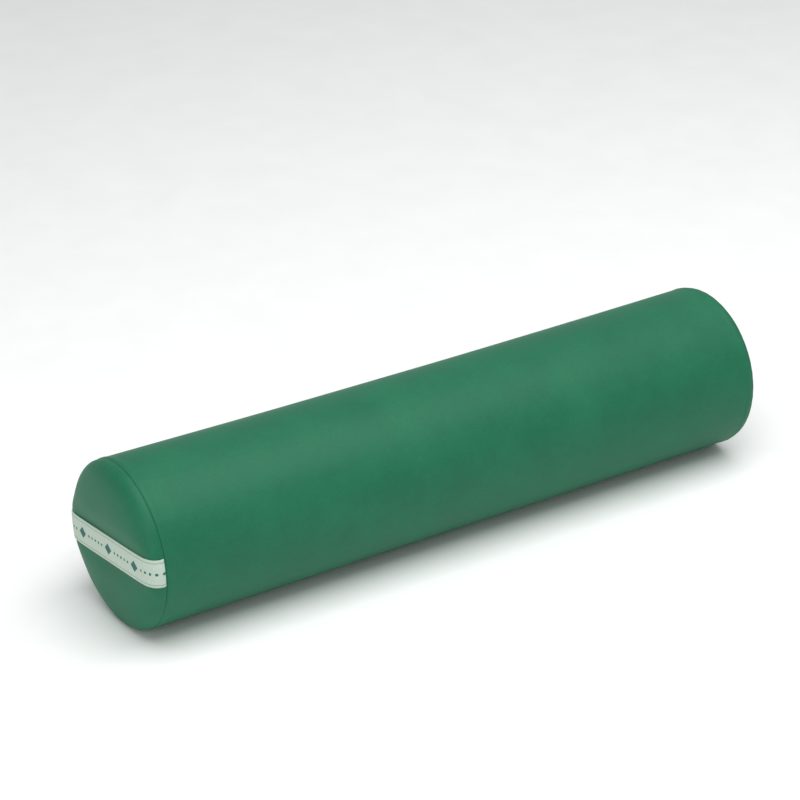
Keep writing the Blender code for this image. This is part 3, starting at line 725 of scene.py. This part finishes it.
# Extruded nylon: smooth and slightly translucent, so it has a tight highlight on each loop.
DYE_STREAK_MM = 6.0
nylon, tree, shader = new_surface("extruded_nylon", IOR=1.53, Subsurface_Weight=0.1, Subsurface_Scale=0.0008)
place = node(tree, "ShaderNodeTexCoord").outputs["Object"]
dye = node(tree, "ShaderNodeTexNoise", {"Scale": 1000 / DYE_STREAK_MM, "Detail": 2.0}, {"Vector": place})
dye_colour = node(
    tree, "ShaderNodeValToRGB", {"stops": [(0.35, "#1b6649"), (0.65, "#237657")]}, {"Fac": dye}
)
tree.links.new(dye_colour.outputs[0], shader.inputs["Base Color"])
haze = node(tree, "ShaderNodeMapRange", {"To Min": 0.24, "To Max": 0.38}, {"Value": dye})
tree.links.new(haze.outputs[0], shader.inputs["Roughness"])

COIL_PITCH = 0.0016
FILAMENT_RADIUS = 0.00034
LOOP_STEPS = 8
LOOP_HEAD, LOOP_BACK = 0.00055, 0.00335  # each loop's two ends, beside the zip's middle line
COIL_LOW, COIL_HIGH = 0.0738, 0.0756  # the coils' two faces, from the roll's axis


def at_zip(x, lateral, radius):
    """The point beside the zip's middle line, by its way round the cover and its radius from the axis."""
    return from_axis(x, ZIP_ANGLE + lateral / RADIUS, radius)


def tube(line, radius, reference, sides=5):
    """A closed tube along a line, with its sides set out from a reference direction."""
    points = []
    for i, point in enumerate(line):
        step = (line[min(i + 1, len(line) - 1)] - line[max(i - 1, 0)]).normalized()
        across = step.cross(reference).normalized()
        rise = across.cross(step)
        for j in range(sides):
            angle = 2 * pi * j / sides
            points.append(point + (across * cos(angle) + rise * sin(angle)) * radius)
    faces = [tuple(range(sides)), tuple(len(points) - 1 - j for j in range(sides))]
    for first in range(0, len(points) - sides, sides):
        faces += ring_faces(first, sides)
    return points, faces


def join_shapes(shapes):
    """One list of points and one of faces from several closed shapes."""
    points, faces = [], []
    for shape_points, shape_faces in shapes:
        faces += [tuple(index + len(points) for index in face) for face in shape_faces]
        points += shape_points
    return points, faces


def coil_row(row, node_name):
    """One coil: a filament wound in flat loops, set half a pitch on from the facing coil's."""
    low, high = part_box(node_name)
    first_x = low.x + FILAMENT_RADIUS + (COIL_PITCH / 2 if row > 0 else 0.0)
    loops = floor((high.x - low.x - 2 * FILAMENT_RADIUS) / COIL_PITCH - 0.5)
    reach = (LOOP_BACK - LOOP_HEAD) / 2 - FILAMENT_RADIUS
    height = (COIL_HIGH - COIL_LOW) / 2 - FILAMENT_RADIUS
    line = []
    for i in range(loops * LOOP_STEPS + 1):
        turn = 2 * pi * i / LOOP_STEPS
        lateral = (LOOP_HEAD + LOOP_BACK) / 2 - reach * cos(turn)
        radius = (COIL_LOW + COIL_HIGH) / 2 + height * sin(turn)
        line.append(at_zip(first_x + COIL_PITCH * i / LOOP_STEPS, row * lateral, radius))
    return tube(line, FILAMENT_RADIUS, Vector((1, 0, 0)))


for row, name in ((1, "upper"), (-1, "lower")):
    coil = mesh_object(f"zip_coil_loops_{name}", *coil_row(row, f"zip_coil_{name}"), nylon)
    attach(coil, "bolster")
    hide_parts(f"zip_coil_{name}")

STITCH_LENGTH = 0.003
STITCH_GAP = 0.0006
STITCH_RADIUS = 0.0003
STITCH_PROUD = 0.00012  # the thread's middle lies this far out of the leatherette
STITCH_DIVE = 0.0006  # and this much deeper at each end, where it goes through
STITCH_SHARES = (0.0, 0.1, 0.3, 0.5, 0.7, 0.9, 1.0)


def topstitches():
    """Each stitch of the line sewn round the slot: a short thread that dives at both its ends."""
    end = SLOT_HALF_LENGTH + STITCH_OFFSET - SLOT_HALF_WIDTH
    turns = ((-end, -STITCH_OFFSET), (end, -STITCH_OFFSET), (end, STITCH_OFFSET), (-end, STITCH_OFFSET))
    corners = [Vector(corner) for corner in (*turns, turns[0])]
    shapes = []
    for start, stop in zip(corners, corners[1:]):
        count = round((stop - start).length / (STITCH_LENGTH + STITCH_GAP))
        pace = (stop - start) / count
        for i in range(count):
            line = []
            for share in STITCH_SHARES:
                through_step = (STITCH_GAP + share * STITCH_LENGTH) / (STITCH_LENGTH + STITCH_GAP)
                place = start + pace * (i + through_step)
                x = MIDDLE_X + place.x
                surface = sleeve_radius(x, ZIP_ANGLE + place.y / RADIUS)
                dive = STITCH_DIVE * abs(2 * share - 1) ** 5
                line.append(at_zip(x, place.y, surface + STITCH_PROUD - dive))
            outward = at_zip(x, place.y, 1.0) - at_zip(x, place.y, 0.0)
            shapes.append(tube(line, STITCH_RADIUS, outward))
    return join_shapes(shapes)


stitches = mesh_object("zip_topstitches", *topstitches(), thread)
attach(stitches, "bolster")
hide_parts("zip_topstitch")

# --------------------------------------------------------------------------------------------------
# Zip slider and pull: die-cast zinc, tumbled smooth and nickel plated. The slider is two plates joined by
# a post, with an arched bridge on top. The pull is a flat tab whose crossbar turns under the bridge.

# Nickel plate on tumbled zinc: bright and slightly warm, with a fine haze of handling marks.
RUB_MM = 2.4
nickel, tree, shader = new_surface("nickel_plated_zinc", Metallic=1.0)
place = node(tree, "ShaderNodeTexCoord").outputs["Object"]
rubbed = node(
    tree, "ShaderNodeTexNoise", {"Scale": 1000 / RUB_MM, "Detail": 5.0, "Roughness": 0.6}, {"Vector": place}
)
plate_colour = node(
    tree, "ShaderNodeValToRGB", {"stops": [(0.3, "#c3bfb8"), (0.7, "#d0ccc6")]}, {"Fac": rubbed}
)
tree.links.new(plate_colour.outputs[0], shader.inputs["Base Color"])
haze = node(
    tree, "ShaderNodeMapRange", {"From Min": 0.3, "From Max": 0.7, "To Min": 0.12, "To Max": 0.26},
    {"Value": rubbed},
)
tree.links.new(haze.outputs[0], shader.inputs["Roughness"])
bump = node(tree, "ShaderNodeBump", {"Strength": 0.08, "Distance": 0.00004}, {"Height": rubbed})
tree.links.new(bump.outputs[0], shader.inputs["Normal"])
for name in ("zip_top_stop_upper", "zip_top_stop_lower", "zip_bottom_stop"):
    frame["nodes"][name].data.materials[0] = nickel

SLIDER_MIDDLE_X = swing["pos_m"][0]
PIN_RADIUS_PLACE = hypot(swing["pos_m"][1], swing["pos_m"][2] - AXIS_Z)  # from the roll's axis to the pin
EDGE_ROUND = 0.00025
SLIDER_HALF_LENGTH = 0.006
MOUTH_HALF_WIDTH, TAIL_HALF_WIDTH = 0.00475, 0.0042
SHOULDER_X = 0.001  # where the plates start to narrow towards the tail
NOSE_SLANT, NOSE_SHARE, NOSE_NOTCH, SLIDER_CORNER = 0.0016, 0.72, 0.0012, 0.0011
PLATE_THICKNESS = 0.0012
TOP_PLATE_MIDDLE, BOTTOM_PLATE_MIDDLE = 0.0765, 0.07184  # from the roll's axis
POST_LENGTH, POST_WIDTH, POST_X = 0.0025, 0.0005, -0.0048
FLANGE_THICKNESS, FLANGE_TAIL_THICKNESS, FLANGE_BOTTOM = 0.0008, 0.0007, 0.0745
FLANGE_START, FLANGE_BEND, FLANGE_END, FLANGE_CORNER = -0.0042, 0.0012, 0.0054, 0.0003
BRIDGE_HALF_LENGTH, BRIDGE_TOP, BRIDGE_WIDTH = 0.0033, 0.0801, 0.002
BRIDGE_WALL, BRIDGE_CORNER = 0.0009, 0.0014


def rounded(corners, radius, steps=5):
    """A closed outline whose corners are rounded by short curves."""
    outline = []
    for i, corner in enumerate(corners):
        before, here, after = Vector(corners[i - 1]), Vector(corner), Vector(corners[(i + 1) % len(corners)])
        reach = min(radius, (before - here).length / 2, (after - here).length / 2)
        start = here + (before - here).normalized() * reach
        end = here + (after - here).normalized() * reach
        for k in range(steps + 1):
            t = k / steps
            outline.append(start * (1 - t) ** 2 + here * 2 * t * (1 - t) + end * t**2)
    return outline


def flat_plate(outlines, thickness):
    """A cast plate with rounded edges, from its outline and those of its holes, as points and faces."""
    curve = bpy.data.curves.new("plate", "CURVE")
    curve.dimensions = "2D"
    curve.fill_mode = "BOTH"
    curve.extrude = thickness / 2 - EDGE_ROUND
    curve.bevel_depth = EDGE_ROUND
    curve.bevel_resolution = 2
    curve.offset = -EDGE_ROUND
    for outline in outlines:
        spline = curve.splines.new("POLY")
        spline.points.add(len(outline) - 1)
        for place, point in zip(outline, spline.points):
            point.co = (place.x, place.y, 0, 1)
        spline.use_cyclic_u = True
    made = bpy.data.objects.new("plate", curve)
    bpy.context.scene.collection.objects.link(made)
    bpy.context.view_layer.update()
    mesh = bpy.data.meshes.new_from_object(made.evaluated_get(bpy.context.evaluated_depsgraph_get()))
    bpy.data.objects.remove(made)
    return [vertex.co.copy() for vertex in mesh.vertices], [tuple(face.vertices) for face in mesh.polygons]


def set_at(shape, x, radius, tilt=0.0):
    """Moves a shape drawn with X along the zip and Z away from the roll to its place at the zip."""
    outward = at_zip(0, 0, 1.0) - at_zip(0, 0, 0.0)
    axes = Matrix((Vector((1, 0, 0)), outward.cross(Vector((1, 0, 0))), outward)).transposed()
    axes = axes @ Matrix.Rotation(tilt, 3, "Y")
    return [axes @ point + at_zip(x, 0, radius) for point in shape[0]], shape[1]


def slider_outline():
    """Both plates' outline: a notched nose towards the open side, and a narrower tail."""
    nose = -SLIDER_HALF_LENGTH
    half = [(nose, MOUTH_HALF_WIDTH * NOSE_SHARE), (nose + NOSE_SLANT, MOUTH_HALF_WIDTH)]
    half += [(SHOULDER_X, MOUTH_HALF_WIDTH), (SLIDER_HALF_LENGTH, TAIL_HALF_WIDTH)]
    return rounded([(x, -y) for x, y in half] + half[::-1] + [(nose + NOSE_NOTCH, 0)], SLIDER_CORNER)


def slider_shapes():
    """The slider's two plates, its post, the flanges at its sides and the bridge on its top."""
    shapes = []
    for radius in (TOP_PLATE_MIDDLE, BOTTOM_PLATE_MIDDLE):
        shapes.append(set_at(flat_plate([slider_outline()], PLATE_THICKNESS), SLIDER_MIDDLE_X, radius))
    post_side = [(0, -POST_WIDTH / 2), (POST_LENGTH, -POST_WIDTH / 2)]
    post_side += [(POST_LENGTH, POST_WIDTH / 2), (0, POST_WIDTH / 2)]
    post = flat_plate([[Vector(corner) for corner in post_side]], TOP_PLATE_MIDDLE - BOTTOM_PLATE_MIDDLE)
    shapes.append(set_at(post, SLIDER_MIDDLE_X + POST_X, (TOP_PLATE_MIDDLE + BOTTOM_PLATE_MIDDLE) / 2))
    mouth_inside, tail_inside = MOUTH_HALF_WIDTH - FLANGE_THICKNESS, TAIL_HALF_WIDTH - FLANGE_TAIL_THICKNESS
    flange_side = [(FLANGE_START, mouth_inside), (FLANGE_BEND, mouth_inside), (FLANGE_END, tail_inside)]
    flange_side += [(FLANGE_END, TAIL_HALF_WIDTH), (FLANGE_BEND, MOUTH_HALF_WIDTH)]
    flange_side += [(FLANGE_START, MOUTH_HALF_WIDTH)]
    for side in (-1, 1):
        corners = [(x, side * y) for x, y in flange_side][::side]
        flange = flat_plate([rounded(corners, FLANGE_CORNER, 3)], TOP_PLATE_MIDDLE - FLANGE_BOTTOM)
        shapes.append(set_at(flange, SLIDER_MIDDLE_X, (TOP_PLATE_MIDDLE + FLANGE_BOTTOM) / 2))
    length, height = BRIDGE_HALF_LENGTH, BRIDGE_TOP - TOP_PLATE_MIDDLE
    outside = [(-length, 0), (-length, height), (length, height), (length, 0)]
    length, height = length - BRIDGE_WALL, height - BRIDGE_WALL
    inside = [(length, 0), (length, height), (-length, height), (-length, 0)]
    points, faces = flat_plate([rounded(outside + inside, BRIDGE_CORNER)], BRIDGE_WIDTH)
    side_on = Matrix.Rotation(pi / 2, 3, "X")
    shapes.append(set_at(([side_on @ point for point in points], faces), SLIDER_MIDDLE_X, TOP_PLATE_MIDDLE))
    return join_shapes(shapes)


slider = mesh_object("cast_zip_slider", *slider_shapes(), nickel)
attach(slider, "zip_slider")
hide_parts("zip_slider")

PULL_LENGTH, PULL_HALF_WIDTH, PULL_THICKNESS = 0.03, 0.0036, 0.0011
PULL_TILT = radians(3)  # the tab lies nearly flat, with its tip towards the cover
PULL_CORNER = 0.0022
# The tab's side, as (from the pin, share of the half width).
PULL_SIDE = [(-0.0006, 1.0), (0.008, 1.0), (0.012, 0.72), (0.022, 0.9), (PULL_LENGTH, 0.9)]
# Start, end, half width and corner of the hole by the pin, and of the one near the tip.
PIN_HOLE = (0.0006, 0.0056, 0.0022, 0.0008)
TIP_HOLE = (0.0225, 0.0275, 0.0012, 0.0012)


def pull_outlines():
    """The tab's outline, waisted between its two holes, and the outlines of the holes."""
    side = [(x, share * PULL_HALF_WIDTH) for x, share in PULL_SIDE]
    outlines = [rounded([(x, -y) for x, y in side] + side[::-1], PULL_CORNER)]
    for start, end, half, corner in (PIN_HOLE, TIP_HOLE):
        outlines.append(rounded([(start, half), (end, half), (end, -half), (start, -half)], corner))
    return outlines


tab = flat_plate(pull_outlines(), PULL_THICKNESS)
pull = mesh_object("cast_zip_pull", *set_at(tab, SLIDER_MIDDLE_X, PIN_RADIUS_PLACE, PULL_TILT), nickel)
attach(pull, "zip_pull")
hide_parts("zip_pull")

# --------------------------------------------------------------------------------------------------
# Floor and light: a plain white floor under one broad soft light from above, with a weak fill beside the
# strap end and an even white surround.

# Matt white paint: no shine, with a very faint cloudiness where the roller has passed.
FLOOR_SIZE = 30.0
FLOOR_CLOUD_MM = 60.0
white_floor, tree, shader = new_surface("matt_white_floor", Roughness=0.9)
place = node(tree, "ShaderNodeTexCoord").outputs["Object"]
cast = node(tree, "ShaderNodeTexNoise", {"Scale": 1000 / FLOOR_CLOUD_MM, "Detail": 2.0}, {"Vector": place})
cast_colour = node(
    tree, "ShaderNodeValToRGB", {"stops": [(0.3, "#f1f3f2"), (0.7, "#f4f5f5")]}, {"Fac": cast}
)
tree.links.new(cast_colour.outputs[0], shader.inputs["Base Color"])
half = FLOOR_SIZE / 2
floor_corners = [(-half, -half, 0), (half, -half, 0), (half, half, 0), (-half, half, 0)]
floor_piece = mesh_object("floor", floor_corners, [(0, 1, 2, 3)], white_floor)

overhead = bpy.data.objects.new("overhead_softbox", bpy.data.lights.new("overhead_softbox", "AREA"))
overhead.data.shape = "RECTANGLE"
overhead.data.size, overhead.data.size_y = 2.6, 1.8
overhead.data.energy = 44.0
overhead.location = (0.05, -0.55, 2.0)
bpy.context.scene.collection.objects.link(overhead)

end_fill = bpy.data.objects.new("strap_end_fill", bpy.data.lights.new("strap_end_fill", "AREA"))
end_fill.data.shape = "DISK"
end_fill.data.size = 1.0
end_fill.data.energy = 4.2
end_fill.location = (-1.7, -0.7, 0.5)
from_strap_end = end_fill.location - Vector((seam_x, 0, AXIS_Z))
end_fill.rotation_euler = from_strap_end.to_track_quat("Z", "Y").to_euler()
bpy.context.scene.collection.objects.link(end_fill)

surround = bpy.data.worlds.new("even_surround")
surround.use_nodes = True
background = surround.node_tree.nodes["Background"]
background.inputs["Color"].default_value = (1.0, 1.0, 1.0, 1.0)
background.inputs["Strength"].default_value = 0.52
bpy.context.scene.world = surround
bpy.context.scene.view_settings.view_transform = "Standard"
